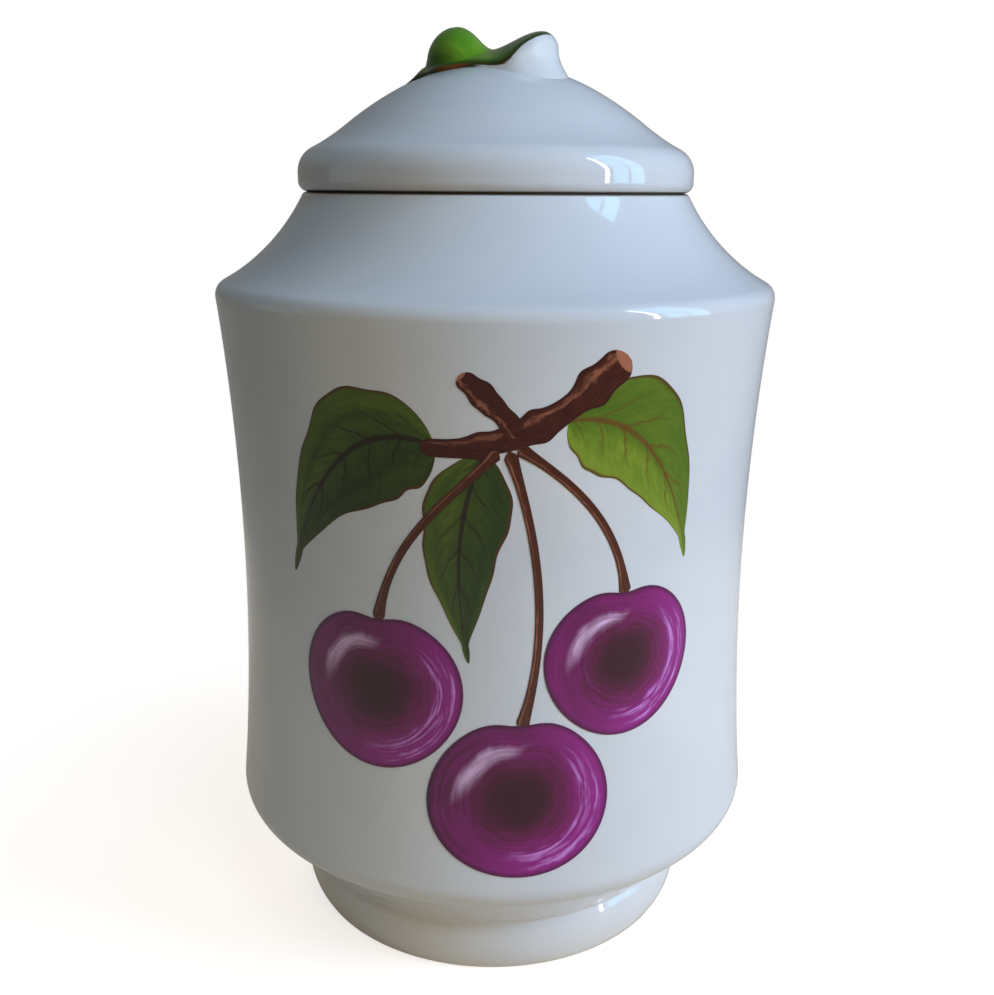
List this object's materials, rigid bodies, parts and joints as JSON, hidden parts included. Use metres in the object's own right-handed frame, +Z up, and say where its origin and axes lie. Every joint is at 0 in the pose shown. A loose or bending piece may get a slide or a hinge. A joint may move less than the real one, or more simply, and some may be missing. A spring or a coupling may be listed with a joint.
{
  "type": "jam pot",
  "caption": "Lidded glazed earthenware pot with a waisted round body on a low foot and a lift-off domed lid with a moulded leaf knob, for storing and serving jam.",
  "frame": {"origin": "centre of the foot ring's resting face", "axes": "+Z up along the pot's turning axis, -Y towards the painted front, +X towards the knob's raised tip"},
  "size_m": [0.0924, 0.0924, 0.1505],
  "materials": {
    "white_glaze": "glossy white glaze with a hand-painted sprig on the front of the jar",
    "leaf_glaze": "glossy green glaze with a brown margin over white sides"
  },
  "bodies": {
    "jar": {"jar": "white_glaze"},
    "lid": {"lid": "white_glaze", "leaf_knob": "leaf_glaze"}
  },
  "joints": [
    {"name": "lid_lift", "type": "slide", "parent": "jar", "child": "lid", "axis": [0, 0, 1], "range_m": [0, 0.06]}
  ]
}
